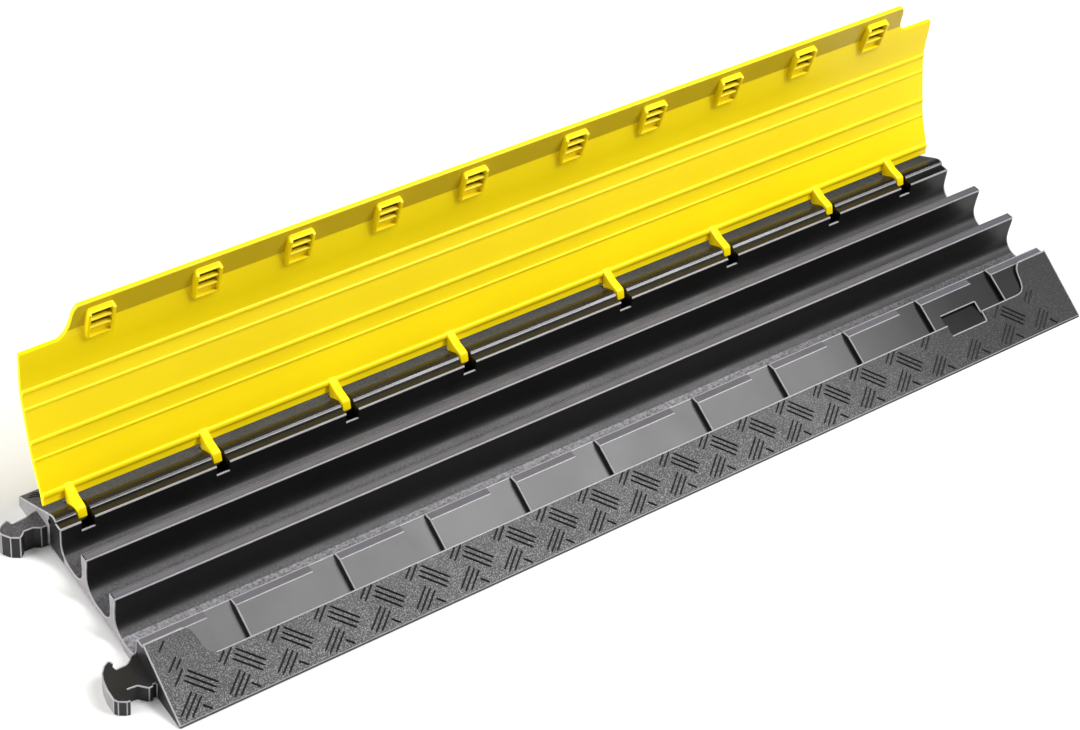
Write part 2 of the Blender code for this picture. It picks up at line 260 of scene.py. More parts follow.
def rubber(name, grain_mm, grain_height_mm, roughness, cloud_mm, dark=RUBBER_DARK, light=RUBBER_LIGHT,
           shine=0.5, right_shine=1.0, dust_and_sheen=0.0, dust_and_sheen_colour=DUST_AND_SHEEN_GREY, specks=0.0):
    """Black rubber: faint clouding in colour and gloss, a grain pressed into it, and layers of dust, painted
    sheen and painted glints.

    The right end keeps only a share of the shine, if one is given, a painted shade where that end gets less
    light."""
    made, tree, output = new_material(name)
    coordinates = add_node(tree, "ShaderNodeTexCoord").outputs
    where = coordinates["Object"]
    spot = add_node(tree, "ShaderNodeSeparateXYZ", links={"Vector": where}).outputs
    cloud = pattern(tree, where, cloud_mm, 3.0)
    tint = laid_over(tree, dark, cloud, light)
    # partly dust, partly painted sheen on faces that look up
    if dust_and_sheen:
        tint = laid_over(tree, tint, dust_and_sheen_share(tree, coordinates, spot, dust_and_sheen), dust_and_sheen_colour)
    # painted glints: pale specks on the grain's crowns
    if specks:
        tint = laid_over(tree, tint, speck_share(tree, coordinates, spot, specks), SPECK_GLINT_GREY)
    gloss = ranged(tree, cloud, *CLOUD_EDGE, *(roughness + change for change in GLOSS_CHANGE))
    grain = pressed_in(tree, pattern(tree, where, grain_mm, 2.0), grain_height_mm)
    shader = add_node(tree, "ShaderNodeBsdfPrincipled",
                      values={"IOR": RUBBER_IOR, "Specular IOR Level": shine},
                      links={"Base Color": tint, "Roughness": gloss, "Normal": grain})
    # painted shade: less shine towards the right end
    if right_shine < 1:
        polish = ranged(tree, spot["X"], *SHINE_FADE_X, shine, shine * right_shine)
        tree.links.new(polish, shader.inputs["Specular IOR Level"])
    tree.links.new(shader.outputs["BSDF"], output.inputs["Surface"])
    return made


smooth_rubber = rubber("smooth moulded rubber", 4.0, 0.05, 0.36, 60.0, right_shine=0.3)
# channel rubber: partly dust, partly painted sheen on its upward faces
channel_rubber = rubber("channel rubber with dust and painted sheen", 4.0, 0.05, 0.42, 40.0, shine=0.22, dust_and_sheen=0.75)
# painted highlight: a bright band in the front channel, in the pattern of the dust layer
highlight_band_rubber = rubber("channel rubber with painted highlight", 3.0, 0.05, 0.42, 40.0, shine=0.22, dust_and_sheen=1.0,
                       dust_and_sheen_colour=HIGHLIGHT_GREY)
ridge_rubber = rubber("shiny ridge rubber", 4.0, 0.03, 0.27, 60.0, "#0c0b0c", "#141314", shine=0.3)
grained_rubber = rubber("grained moulded rubber", 1.7, 0.6, 0.50, 45.0, right_shine=0.5, specks=0.8)
tread_rubber = rubber("smooth tread rubber", 3.0, 0.03, 0.42, 30.0, "#0b0a0a", "#131212", shine=0.2)
print("rubber finishes", sum("rubber" in made.name for made in bpy.data.materials))

# %% [markdown]
# Rubber greys where it is rubbed. The rib tops and the ledge, which carry the lid, are a dull grey: partly
# scuffing, partly a painted sheen where they face the light above. Every outer edge is a paler grey, a
# painted highlight. The left end's faces that look left are pale grey, a painted light from that side. These
# are three more uses of the same recipe.

# %% Painted sheen, painted edge highlights and painted light on the ends
# partly scuffing, partly painted sheen: a lighter grey for the rib tops and the ledge
scuffed_sheen_rubber = rubber("rubber with scuffing and painted sheen", 3.0, 0.04, 0.6, 25.0, "#504f55", "#636269", shine=0.25,
                        right_shine=0.4)
# painted highlight: a pale grey for the beads on the outer edges
edge_highlight_rubber = rubber("rubber edge with painted highlight", 2.0, 0.03, 0.35, 12.0, "#7f7d81", "#aaa8ac", shine=0.4,
                   right_shine=0.3)
# painted light: a pale grey for the end faces that look left
lit_end_rubber = rubber("rubber end with painted light", 3.0, 0.1, 0.6, 20.0, "#6d6a6a", "#8a8787", shine=0.3)
print("with the worn ones", sum("rubber" in made.name for made in bpy.data.materials))

# %% [markdown]
# ## Moulded plastic for the lid
#
# The lid is yellow polyurethane, cast with the pigment all through it. It could be made to scatter light
# inside, but at this thickness the eye sees only an even yellow with a soft gloss, so a plain colour does.
# A faint unevenness of the surface breaks long reflections. The flange's inner face is a darker yellow, a
# painted shade where it leans away from the light, and the clips' windows hold a dark brown, a painted
# shadow, so the recipe is used three times.

# %% The lid's finish
LID_YELLOW = "#fbe006"
LID_SHADE = "#f2d304"
PLASTIC_IOR = 1.49
PLASTIC_GLOSS = {"IOR": PLASTIC_IOR, "Roughness": 0.34, "Specular IOR Level": 0.2}
RIPPLE_HEIGHT = 0.06


def moulded_plastic(name, dark=LID_SHADE, light=LID_YELLOW):
    """Yellow plastic through and through: slight clouding, soft gloss and a hardly visible ripple."""
    made, tree, output = new_material(name)
    where = add_node(tree, "ShaderNodeTexCoord").outputs["Object"]
    tint = laid_over(tree, light, pattern(tree, where, 90.0, 2.0), dark)
    ripple = pressed_in(tree, pattern(tree, where, 7.0, 2.0), RIPPLE_HEIGHT)
    shader = add_node(tree, "ShaderNodeBsdfPrincipled", values=PLASTIC_GLOSS,
                      links={"Base Color": tint, "Normal": ripple})
    tree.links.new(shader.outputs["BSDF"], output.inputs["Surface"])
    return made


yellow_plastic = moulded_plastic("moulded polyurethane")
# painted shade: a darker yellow for the flange's inner face, which leans away from the light
shaded_flange_plastic = moulded_plastic("polyurethane with painted shade", "#c2a716", "#ccb018")
# painted shadow: a dark brown for the plates in the clips' windows
window_shadow_plastic = moulded_plastic("polyurethane with painted shadow", "#6b590c", "#7a6710")
print("plastic finishes", sum("polyurethane" in made.name for made in bpy.data.materials))

# %% [markdown]
# ## Drawn steel for the rod
#
# The rod is plain drawn steel. Drawing it through a die leaves fine lines along it, so its gloss is broken
# only across its length.

# %% The rod's finish
STEEL = "#9c9b99"
LINE_MM = 0.4
STEEL_ROUGHNESS = (0.25, 0.45)


def drawn_steel(name):
    """Steel with fine lines along X: a noise stretched a hundred times along the rod drives its roughness."""
    made, tree, output = new_material(name)
    where = add_node(tree, "ShaderNodeTexCoord").outputs["Object"]
    stretched = add_node(tree, "ShaderNodeMapping", values={"Scale": (0.01, 1.0, 1.0)},
                         links={"Vector": where}).outputs["Vector"]
    gloss = ranged(tree, pattern(tree, stretched, LINE_MM, 1.0), 0.0, 1.0, *STEEL_ROUGHNESS)
    shader = add_node(tree, "ShaderNodeBsdfPrincipled", values={"Base Color": colour(STEEL), "Metallic": 1.0},
                      links={"Roughness": gloss})
    tree.links.new(shader.outputs["BSDF"], output.inputs["Surface"])
    return made


rod = frame["nodes"]["hinge_rod"]
rod.data.materials.clear()
rod.data.materials.append(drawn_steel("drawn steel"))
print("rod finish", rod.data.materials[0].name)

# %% [markdown]
# ## The base
#
# The imported base already has the right shape: ramps, channels, ribs, pockets, slots and tongues. It could
# be drawn again from arrays, but its many cuts would be lost in a grid, so a copy of it is used. Loose
# triangles are merged and flat areas made whole, so that they shade evenly. The left end is cut along three
# lines, because only parts of it are painted pale, a painted light from the left.

# %% A merged copy of the base
MERGE = 0.01
FLAT_WITHIN = 0.4
END_CUTS = (76.0, 199.0, 224.0)
SQUARE = 0.99
TOUCHING = 0.1


def merged_copy(node):
    """A bmesh of a CAD node with equal points merged and flat neighbours joined into whole faces."""
    bm = bmesh.new()
    bm.from_mesh(frame["nodes"][node].data)
    bmesh.ops.remove_doubles(bm, verts=bm.verts, dist=MERGE / 1000)
    bmesh.ops.dissolve_limit(bm, angle_limit=math.radians(FLAT_WITHIN), verts=bm.verts, edges=bm.edges)
    return bm


def cut_left_end(bm, y):
    """Split the flat left end of the base along a plane across Y."""
    end_x = place(0, 0, 0)[0]
    faces = [face for face in bm.faces
             if face.normal.x < -SQUARE and abs(face.verts[0].co.x - end_x) < TOUCHING / 1000]
    parts = list({part for face in faces for part in (face, *face.verts, *face.edges)})
    bmesh.ops.bisect_plane(bm, geom=parts, plane_co=place(0, y, 0).tolist(), plane_no=(0, 1, 0))


body = merged_copy("base")
for cut in END_CUTS:
    cut_left_end(body, cut)
mesh = bpy.data.meshes.new("base_body")
body.to_mesh(mesh)
stored_normals = mesh.attributes.get("custom_normal")
if stored_normals:
    mesh.attributes.remove(stored_normals)
print("base faces", len(mesh.polygons), "of", len(frame["nodes"]["base"].data.polygons), "triangles")

# %% [markdown]
# Each area then gets its finish: what its mould and its wear gave it, and on some areas painted sheen,
# highlights and light. The areas are found from where a face lies and which way it looks, and a later area
# wins over an earlier one.

# %% Finishes by area
CHANNEL_START_Y = 72.4
CHANNEL_LOW_Z = 8.0
RAMP_TOP = (61.6, 40.2)
TOE_HEIGHT = 2.5
BACK_RAMP = ((225.0, 41.9), (WIDTH, 11.4))
RIB_TOP = 47.3
LEDGE = 36.4
LEDGE_Y = (60.0, 76.0)
HIGHLIGHT_BAND_Y = 100.0
RIDGE_LOW_Z = 36.0
WITHIN = 0.3
UPWARD = 0.6


def face_values(mesh, value):
    """One vector for every face, such as its middle or its normal, as an array."""
    values = np.zeros(len(mesh.polygons) * 3)
    mesh.polygons.foreach_get(value, values)
    return values.reshape(-1, 3)


def on_line(y, z, start, end):
    """True where (y, z) lies between two section points, close to the line that joins them."""
    share = (y - start[0]) / (end[0] - start[0])
    return (share > 0) & (share < 1) & (np.abs(z - start[1] - share * (end[1] - start[1])) < WITHIN)


x, y, z = (1000 * (face_values(mesh, "center") - place(0, 0, 0))).T
facing_x, facing_y, facing_z = face_values(mesh, "normal").T
grained = on_line(y, z, (0, TOE_HEIGHT), RAMP_TOP) | on_line(y, z, *BACK_RAMP)
# rib tops and ledge: partly scuffing, partly painted sheen from the light above
scuffed_sheen = (facing_z > SQUARE) & (np.abs(z - RIB_TOP) < TOUCHING) & (y > RAMP_TOP[0])
scuffed_sheen |= (facing_z > SQUARE) & (np.abs(z - LEDGE) < WITHIN) & (y > LEDGE_Y[0]) & (y < LEDGE_Y[1])
channel = (y > CHANNEL_START_Y) & (z > CHANNEL_LOW_Z) & (np.abs(facing_x) < 0.1) & ~scuffed_sheen & ~grained
on_tongue = x < -1
left_end = (facing_x < -0.6) & (x < 0.5)
# parts of the left end that keep the dark rubber; the rest gets painted light
dark_end_part = (y < END_CUTS[0]) | ((y > END_CUTS[1]) & (y < END_CUTS[2]))
channel |= (left_end & ~on_tongue & dark_end_part) | (on_tongue & (facing_y < -0.5))
# painted light: left-facing faces of the left end are painted pale
lit_end_faces = left_end & ~channel
# painted highlight: upward faces at the front of the front channel
highlight_band = channel & (y < HIGHLIGHT_BAND_Y) & (facing_z > UPWARD)
ridge = channel & (y > END_CUTS[1]) & (y < BACK_RAMP[0][0] + 1) & (z > RIDGE_LOW_Z) & (x > 0.5)
areas = [(grained, grained_rubber), (scuffed_sheen, scuffed_sheen_rubber), (channel, channel_rubber),
         (lit_end_faces, lit_end_rubber), (highlight_band, highlight_band_rubber), (ridge, ridge_rubber)]

mesh.materials.append(smooth_rubber)
area = np.zeros(len(mesh.polygons), np.int32)
for number, (faces, finish) in enumerate(areas, 1):
    mesh.materials.append(finish)
    area[faces] = number
    print(finish.name, int(faces.sum()), "faces")
mesh.polygons.foreach_set("material_index", area)

# %% [markdown]
# Curved walls are shaded smooth. Every edge round a ramp stays sharp, so that the ramp looks flat up to
# its border, where the pads and the recess are cut in at a low angle.

# %% Sharp edges and the base's place in the frame
SMOOTH_BELOW = 22.0

mesh.shade_smooth()
mesh.set_sharp_from_angle(angle=math.radians(SMOOTH_BELOW))
sharp = np.zeros(len(mesh.edges), bool)
mesh.attributes["sharp_edge"].data.foreach_get("value", sharp)
ramp_edges = [mesh.loops[loop].edge_index for face in np.flatnonzero(grained)
              for loop in mesh.polygons[face].loop_indices]
sharp[ramp_edges] = True
mesh.attributes["sharp_edge"].data.foreach_set("value", sharp)
base = bpy.data.objects.new("base_body", mesh)
bpy.context.scene.collection.objects.link(base)
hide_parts("base")
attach(base, "base")
print("sharp edges", int(sharp.sum()), "of", len(sharp))

# %% [markdown]
# ## Surfaces from arrays
#
# Every new piece is a grid of points: rows along one parameter, columns along another. The points come
# from numpy in one go, and the faces only join neighbours in the grid, so the same function serves a flat
# plate, a bent shell and a ring.

# %% Grids to meshes
SHARP_FROM = 40.0


def grid_faces(rows, columns, wrap_rows=False, wrap_columns=False):
    """Four-sided faces between neighbours in a grid of points, closed round either way if asked."""
    r = np.arange(rows if wrap_rows else rows - 1)
    c = np.arange(columns if wrap_columns else columns - 1)
    r, c = np.meshgrid(r, c, indexing="ij")
    below, beside = (r + 1) % rows, (c + 1) % columns
    corners = [r * columns + c, r * columns + beside, below * columns + beside, below * columns + c]
    return np.stack(corners, -1).reshape(-1, 4)


def repeated(faces, points_each, count):
    """The same faces for each of several equal shapes that follow one another in the point list."""
    shifts = points_each * np.arange(count)
    return (np.asarray(faces)[None] + shifts[:, None, None]).reshape(-1, np.shape(faces)[1])


def new_piece(name, points, faces, finish, body, slot):
    """Make a mesh object from points and faces, facing outwards, and let it ride on a body."""
    mesh = bpy.data.meshes.new(name)
    mesh.from_pydata(np.reshape(points, (-1, 3)).tolist(), [], [list(map(int, face)) for face in faces])
    bm = bmesh.new()
    bm.from_mesh(mesh)
    bmesh.ops.recalc_face_normals(bm, faces=bm.faces)
    open_edges = sum(not edge.is_manifold for edge in bm.edges)
    bm.to_mesh(mesh)
    bm.free()
    mesh.materials.append(finish)
    mesh.shade_smooth()
    mesh.set_sharp_from_angle(angle=math.radians(SHARP_FROM))
    made = bpy.data.objects.new(name, mesh)
    bpy.context.scene.collection.objects.link(made)
    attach(made, body)
    print(f"{name}: {len(mesh.polygons)} faces, {open_edges} open edges")
    return made


print("a grid of 3 x 4 points:", len(grid_faces(3, 4)), "faces, closed both ways",
      len(grid_faces(3, 4, wrap_rows=True, wrap_columns=True)))

# %% [markdown]
# ## Rounded outer edges with a painted highlight
#
# A moulding's edge is never knife sharp: it has a small radius, which catches the light as a thin bright
# line. A Bevel modifier is the usual way to round an edge, but the ramps and ends of this base are single
# faces with dozens of short edges where the pockets cut them, and there a bevel folds over itself. So each
# outer edge gets a thin round bead instead, sunk so far that only its crown stands proud. The beads are pale
# grey, a painted highlight.

# %% Beads along the outer edges
EDGE_RADIUS = 0.72
EDGE_SINK = 0.60
EDGE_RING = 8
OUTER_ANGLE = 20.0
SHORTEST_EDGE = 2.2
LOWEST_EDGE = 1.5
HINGE_PARTS_Y = (199.0, 242.0)
HINGE_ANGLE = 38.0
PADS_Y = (30, 75)
LAST_PAD = 60


def stays_dark(middle, out, angle, along_x):
    """True for the underside, the cut-outs for the arms and the pads' right edges."""
    in_hinge = HINGE_PARTS_Y[0] < middle.y < HINGE_PARTS_Y[1] and 1 < middle.x < LENGTH - 1
    at_arm = in_hinge and (angle < math.radians(HINGE_ANGLE) or not along_x)
    at_pad = out.x > 0.3 and PADS_Y[0] < middle.y < PADS_Y[1] and middle.x < LENGTH - LAST_PAD
    return out.z < -0.3 or middle.z < LOWEST_EDGE or at_arm or at_pad


def outer_edges(bm):
    """Both ends and the outward direction of the edges that stand out and are long enough to see."""
    ends, outward = [], []
    for edge in bm.edges:
        if not edge.is_convex or edge.calc_length() < SHORTEST_EDGE / 1000:
            continue
        angle = edge.calc_face_angle()
        low, high = (vert.co for vert in edge.verts)
        out = (edge.link_faces[0].normal + edge.link_faces[1].normal).normalized()
        middle = 1000 * ((low + high) / 2 - Vector(place(0, 0, 0).tolist()))
        along_x = abs(high.x - low.x) > 0.98 * (high - low).length
        if angle < math.radians(OUTER_ANGLE) or stays_dark(middle, out, angle, along_x):
            continue
        ends.append([low.to_tuple(), high.to_tuple()])
        outward.append(out.to_tuple())
    return np.array(ends), np.array(outward)


def edge_beads(ends, outward):
    """Round rods along edges: a ring of points about each end, set in from the edge by EDGE_SINK."""
    along = ends[:, 1] - ends[:, 0]
    along /= np.linalg.norm(along, axis=1)[:, None]
    across = np.cross(along, outward)
    angle = np.linspace(0, 2 * math.pi, EDGE_RING, endpoint=False)[None, :, None]
    ring = EDGE_RADIUS * (np.cos(angle) * outward[:, None] + np.sin(angle) * across[:, None])
    points = (ends - EDGE_SINK / 1000 * outward[:, None])[:, :, None] + ring[:, None] / 1000
    points = np.clip(points, list(base_low), list(base_high))
    sides = repeated(grid_faces(2, EDGE_RING, wrap_columns=True), 2 * EDGE_RING, len(ends))
    caps = repeated(np.arange(2 * EDGE_RING).reshape(2, -1), 2 * EDGE_RING, len(ends))
    return points, [*sides, *caps]


# the beads are coloured pale grey as a painted highlight
new_piece("base_edges", *edge_beads(*outer_edges(body)), edge_highlight_rubber, "base", "base_rubber")
body.free()

# %% [markdown]
# ## Treads
#
# The ramps carry short raised bars in threes, each three laid across its neighbours like basket work, so
# that a shoe or a tyre grips from any side. A bump texture could fake them, but real bars keep their edge
# in any view and in an exported mesh. Each bar is a short tube, thinner at its ends and sunk to its middle.

# %% One bar, many times
TREAD_PITCH = 44.8
ROW_PITCH = 30.5
BAR_SPACING = 4.4
BAR_HALF = 0.95
BAR_SINK = 0.2
BAR_TAPER = np.array([0.3, 0.8, 1.0, 1.0, 1.0, 0.8, 0.3])
BAR_STATIONS = np.array([-1.0, -0.93, -0.8, 0.0, 0.8, 0.93, 1.0])
BAR_RING = 6
BASKET_COUNT = (12, 24)
SLANTS = (42.0, -43.5)
HALF_LENGTHS = (11.5, 14.0)
FIRST_GROUPS = (15.3, 31.5)
SHORTEST_SHARE = 0.3
SIDE_MARGIN = 12


def bar_points(x, s, half_length, slant, surface):
    """Tubes whose middles are at (x, s) on a surface: slanted, with a six-sided round section."""
    ring = np.linspace(0, 2 * math.pi, BAR_RING, endpoint=False) + math.pi / BAR_RING
    along = half_length[:, None, None] * BAR_STATIONS[None, :, None]
    across = BAR_HALF * BAR_TAPER[None, :, None] * np.cos(ring)
    height = BAR_HALF * BAR_TAPER[None, :, None] * np.sin(ring) - BAR_SINK
    cos, sin = np.cos(slant)[:, None, None], np.sin(slant)[:, None, None]
    return surface(x[:, None, None] + along * cos - across * sin,
                   s[:, None, None] + along * sin + across * cos, height)


def bar_faces(count):
    """The faces of the tubes: rings joined along each tube, and a face on each end."""
    stations = len(BAR_STATIONS)
    sides = repeated(grid_faces(stations, BAR_RING, wrap_columns=True), stations * BAR_RING, count)
    ends = np.array([range(BAR_RING), range((stations - 1) * BAR_RING, stations * BAR_RING)])
    return [*sides, *repeated(ends, stations * BAR_RING, count)]


def basket_bars(s_low, s_high, first_row, x_high):
    """Middles, lengths and slants of the bars between two lines: rows of threes, leaning either way in turn.

    A bar that crosses a line is cut there, so its middle and its length change together."""
    rows, groups = BASKET_COUNT
    row, group, bar = np.meshgrid(np.arange(rows), np.arange(groups), np.arange(-1, 2), indexing="ij")
    row, group, bar = row.ravel(), group.ravel(), bar.ravel()
    leans_right = row % 2 == 1
    slant = np.radians(np.where(leans_right, *SLANTS))
    half = np.where(leans_right, *HALF_LENGTHS)
    x = TREAD_PITCH * group + np.where(leans_right, *FIRST_GROUPS) - bar * BAR_SPACING * np.sin(slant)
    s = first_row + ROW_PITCH / 2 * row + bar * BAR_SPACING * np.cos(slant)
    reach = half * np.abs(np.sin(slant))
    low, high = np.maximum(s - reach, s_low), np.minimum(s + reach, s_high)
    share = (high - low) / (2 * reach)
    moved = ((low + high) / 2 - s) / np.tan(slant)
    keep = (share > SHORTEST_SHARE) & (x + moved > SIDE_MARGIN) & (x + moved < x_high)
    return (x + moved)[keep], ((low + high) / 2)[keep], (half * share)[keep], slant[keep]


print("one bar:", len(BAR_STATIONS) * BAR_RING, "points,", len(bar_faces(1)), "faces")

# %% Treads on the front ramp
SEAT_LEFT = 31.0
SEAT_FOOT = 36.6
SHOULDER_MARGIN = 6
FINGER_RECESS = (839.0, 903.0)
RECESS_FOOT = 28
BARE_CORNER = (42, 22)
FRONT_MARGINS = (2.5, 1.2, 4.0)
FRONT_FIRST_ROW = -4.0
ramp_length = math.hypot(RAMP_TOP[0], RAMP_TOP[1] - TOE_HEIGHT)
ramp_rise = math.atan2(RAMP_TOP[1] - TOE_HEIGHT, RAMP_TOP[0])
seat_foot = SEAT_FOOT / math.cos(ramp_rise)


def front_ramp(x, s, height):
    """A point at a distance s up the front ramp from the toe, raised square to the ramp."""
    return place(x, s * math.cos(ramp_rise) - height * math.sin(ramp_rise),
                 TOE_HEIGHT + s * math.sin(ramp_rise) + height * math.cos(ramp_rise))


def on_front_ramp(x, s, half, slant):
    """Which bars stay clear of the seat, its shoulders, the finger recess and the bare right corner."""
    reach_x, reach_s = half * np.cos(slant), half * np.abs(np.sin(slant))
    margin = SEAT_LEFT + SHOULDER_MARGIN
    beside_seat = (x + reach_x < margin) | (x - reach_x > LENGTH - margin)
    below_seat = s + reach_s < seat_foot - 0.8
    beside_recess = (x + reach_x < FINGER_RECESS[0]) | (x - reach_x > FINGER_RECESS[1])
    at_recess = ~beside_recess & (s + reach_s > RECESS_FOOT)
    bare_corner = (x > LENGTH - BARE_CORNER[0]) & (s > BARE_CORNER[1])
    return (beside_seat | below_seat) & ~at_recess & ~bare_corner


low_bars = basket_bars(FRONT_MARGINS[0], seat_foot - FRONT_MARGINS[1], FRONT_FIRST_ROW, LENGTH - SIDE_MARGIN)
high_bars = basket_bars(seat_foot, ramp_length - FRONT_MARGINS[2], FRONT_FIRST_ROW, LENGTH - SIDE_MARGIN)
bars = [np.concatenate(pair) for pair in zip(low_bars, high_bars)]
kept = on_front_ramp(*bars)
bars = [values[kept] for values in bars]
new_piece("front_treads", bar_points(*bars, front_ramp), bar_faces(len(bars[0])), tread_rubber, "base",
          "base_rubber")

# %% [markdown]
# The back ramp falls the other way and is hardly seen behind the open lid. It has the same bars, laid by the
# same function on its own slope. They stop short of the ridge, over which the open lid leans.

# %% Treads on the back ramp
BACK_MARGINS = (3.0, 22.0)
back_length = math.hypot(BACK_RAMP[1][0] - BACK_RAMP[0][0], BACK_RAMP[1][1] - BACK_RAMP[0][1])
back_fall = math.atan2(BACK_RAMP[1][1] - BACK_RAMP[0][1], BACK_RAMP[1][0] - BACK_RAMP[0][0])


def back_ramp(x, s, height):
    """A point at a distance s up the back ramp from its toe, raised square to the ramp."""
    run = back_length - s
    return place(x, BACK_RAMP[0][0] + run * math.cos(back_fall) - height * math.sin(back_fall),
                 BACK_RAMP[0][1] + run * math.sin(back_fall) + height * math.cos(back_fall))


bars = basket_bars(BACK_MARGINS[0], back_length - BACK_MARGINS[1], 0.0, LENGTH - SIDE_MARGIN)
new_piece("back_treads", bar_points(*bars, back_ramp), bar_faces(len(bars[0])), tread_rubber, "base",
          "base_rubber")

# %% [markdown]
# ## The lid's plate and flange
#
# The lid is one long shell of even thickness: an arched plate with five stiffening beads on its inner side,
# then a sharp bend and a short flange whose ends are cut back in an S. A shell like this is a line across
# the lid carried along its length. Each row of points runs from the left end to the right end, and the rows
# of the flange are shorter, which cuts the S shape without any Boolean.

# %% The line across the lid
LID_THICKNESS = 4.2
PLATE_LINE = np.array([(211.3, 42.0), (199.0, 42.3), (191.0, 43.4), (182.0, 45.2), (172.0, 47.1),
                       (164.0, 47.75), (140.0, 47.9), (112.0, 47.75), (102.0, 47.1), (88.0, 43.9),
                       (75.0, 40.0), (63.2, 36.9)])
BEND = (56.0, 35.2)
FLANGE_END = (30.3, 22.6)
BEADS = ((103.2, 2.1, 1.6), (120.2, 1.5, 1.2), (152.2, 2.1, 1.6), (169.0, 1.5, 1.2), (201.4, 2.9, 2.1))
STEP = 0.5
MEAN_HALF = 8


def inner_line():
    """The inner face when shut, from hinge edge to flange end, with its arch smoothed by a running mean."""
    y = np.arange(PLATE_LINE[0, 0], BEND[0], -STEP)
    points = np.vstack([PLATE_LINE, BEND])
    z = np.interp(-y, -points[:, 0], points[:, 1])
    before, after = 2 * z[0] - z[MEAN_HALF:0:-1], 2 * z[-1] - z[-2:-2 - MEAN_HALF:-1]
    weights = np.ones(2 * MEAN_HALF + 1) / (2 * MEAN_HALF + 1)
    z = np.convolve(np.concatenate([before, z, after]), weights, "valid")
    count = int(math.dist(BEND, FLANGE_END) / STEP)
    flange = np.linspace(BEND, FLANGE_END, count + 1)
    return np.concatenate([y, flange[:, 0]]), np.concatenate([z, flange[:, 1]])


line_y, line_z = inner_line()
slope_y, slope_z = np.gradient(line_y), np.gradient(line_z)
size = np.hypot(slope_y, slope_z)
outward_y, outward_z = slope_z / size, -slope_y / size
print("lid line", len(line_y), "points, length",
      round(float(np.hypot(np.diff(line_y), np.diff(line_z)).sum()), 1), "mm")

# %% Where each row of the lid starts
SHOULDER = np.array([(31.0, 64.5), (36.5, 61.5), (40.3, 58.6), (42.8, 54.6), (43.9, 50.0), (44.6, 45.5),
                     (46.4, 41.0), (49.5, 38.2), (53.5, 36.9), (58.5, SEAT_FOOT)])
SHOULDER_GAP = 3.0
LID_X = (0.6, 998.4)
PLATE_END_Y = 63.2
BEYOND_FLANGE = 1.8


def row_start(y):
    """The left end of a row: the plate's straight edge, or the seat's S line stretched along the flange."""
    reach = FLANGE_END[0] - BEYOND_FLANGE
    stretch = (SHOULDER[0, 1] - reach) / (SHOULDER[0, 1] - SHOULDER[-1, 1])
    shoulder_y = SHOULDER[0, 1] - (SHOULDER[0, 1] - SHOULDER[:, 1]) * stretch
    curve = np.interp(-y, -shoulder_y, SHOULDER[:, 0] + SHOULDER_GAP)
    return np.where(y > PLATE_END_Y, LID_X[0], curve)


def bead_height(y):
    """How far the beads stand out at y: half an ellipse over each bead's width."""
    height = np.zeros_like(y)
    for middle, half, depth in BEADS:
        height = np.maximum(height, depth * np.sqrt(np.clip(1 - ((y - middle) / half) ** 2, 0, 1)))
    return height


first, last = row_start(line_y[[0, -1]])
print(f"rows start at x {first:.1f} mm by the hinge and {last:.1f} mm at the flange's end")

# %% The lid's shell
EDGE_SOFT = 0.9
EDGE_STEPS = np.array([1.0, 0.6, 0.25, 0.0])


def lid_shell(columns=24):
    """Two matching grids, inner and outer, joined round their border.

    A row is a point of the line, and a column a share of the way along X. Near the border the two grids
    close in on each other by a quarter circle, so that every outer edge is rounded."""
    drop = EDGE_SOFT * (1 - np.sqrt(1 - EDGE_STEPS ** 2))
    inset = EDGE_SOFT * (1 - EDGE_STEPS)
    start = row_start(line_y)[:, None]
    end = LENGTH - start - (LENGTH - LID_X[1] - LID_X[0]) * (line_y > PLATE_END_Y)[:, None]
    share = np.linspace(0, 1, columns)[None]
    middle = start + EDGE_SOFT + (end - start - 2 * EDGE_SOFT) * share
    x = np.hstack([start + inset[None, :3], middle, end - inset[None, 2::-1]])
    column_drop = np.concatenate([drop[:3], np.zeros(columns), drop[2::-1]])[None]
    along = np.concatenate([[0], np.cumsum(np.hypot(np.diff(line_y), np.diff(line_z)))])
    border = np.minimum(along, along[-1] - along)
    row_drop = EDGE_SOFT * (1 - np.sqrt(1 - np.clip(1 - border / EDGE_SOFT, 0, 1) ** 2))[:, None]
    thin = np.maximum(row_drop, column_drop)
    inner = thin - bead_height(line_y)[:, None] * (thin == 0)
    outer = LID_THICKNESS - thin
    sheets = [opened(line_y[:, None] + outward_y[:, None] * depth,
                     line_z[:, None] + outward_z[:, None] * depth) for depth in (inner, outer)]
    points = [place(x, y, z) for y, z in sheets]
    rows, wide = x.shape
    faces = grid_faces(rows, wide)
    border_line = np.concatenate([np.arange(wide), wide * np.arange(1, rows) + wide - 1,
                                  wide * (rows - 1) + np.arange(wide - 2, -1, -1),
                                  wide * np.arange(rows - 2, 0, -1)])
    after = np.roll(border_line, -1)
    rim = np.stack([border_line, border_line + rows * wide, after + rows * wide, after], -1)
    return np.stack(points), [*faces, *(faces[:, ::-1] + rows * wide), *rim]


shell, shell_faces = lid_shell()
lid_plate = new_piece("lid_plate", shell, shell_faces, yellow_plastic, "lid", "lid_moulding")
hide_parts("lid")

# %% [markdown]
# The flange's inner face leans away from the light when the lid stands open, and is given a darker yellow as
# a painted shade. A mask in the shader could darken it, but it would show through on the outer side. The
# shell's faces follow its grid, so the inner ones are picked by row and column, and a bright rim is left
# round them.

# %% Painted shade on the flange's inner face
RIM_KEPT = 1.6
BORDER_COLUMNS = 3

rows, wide = shell.shape[1:3]
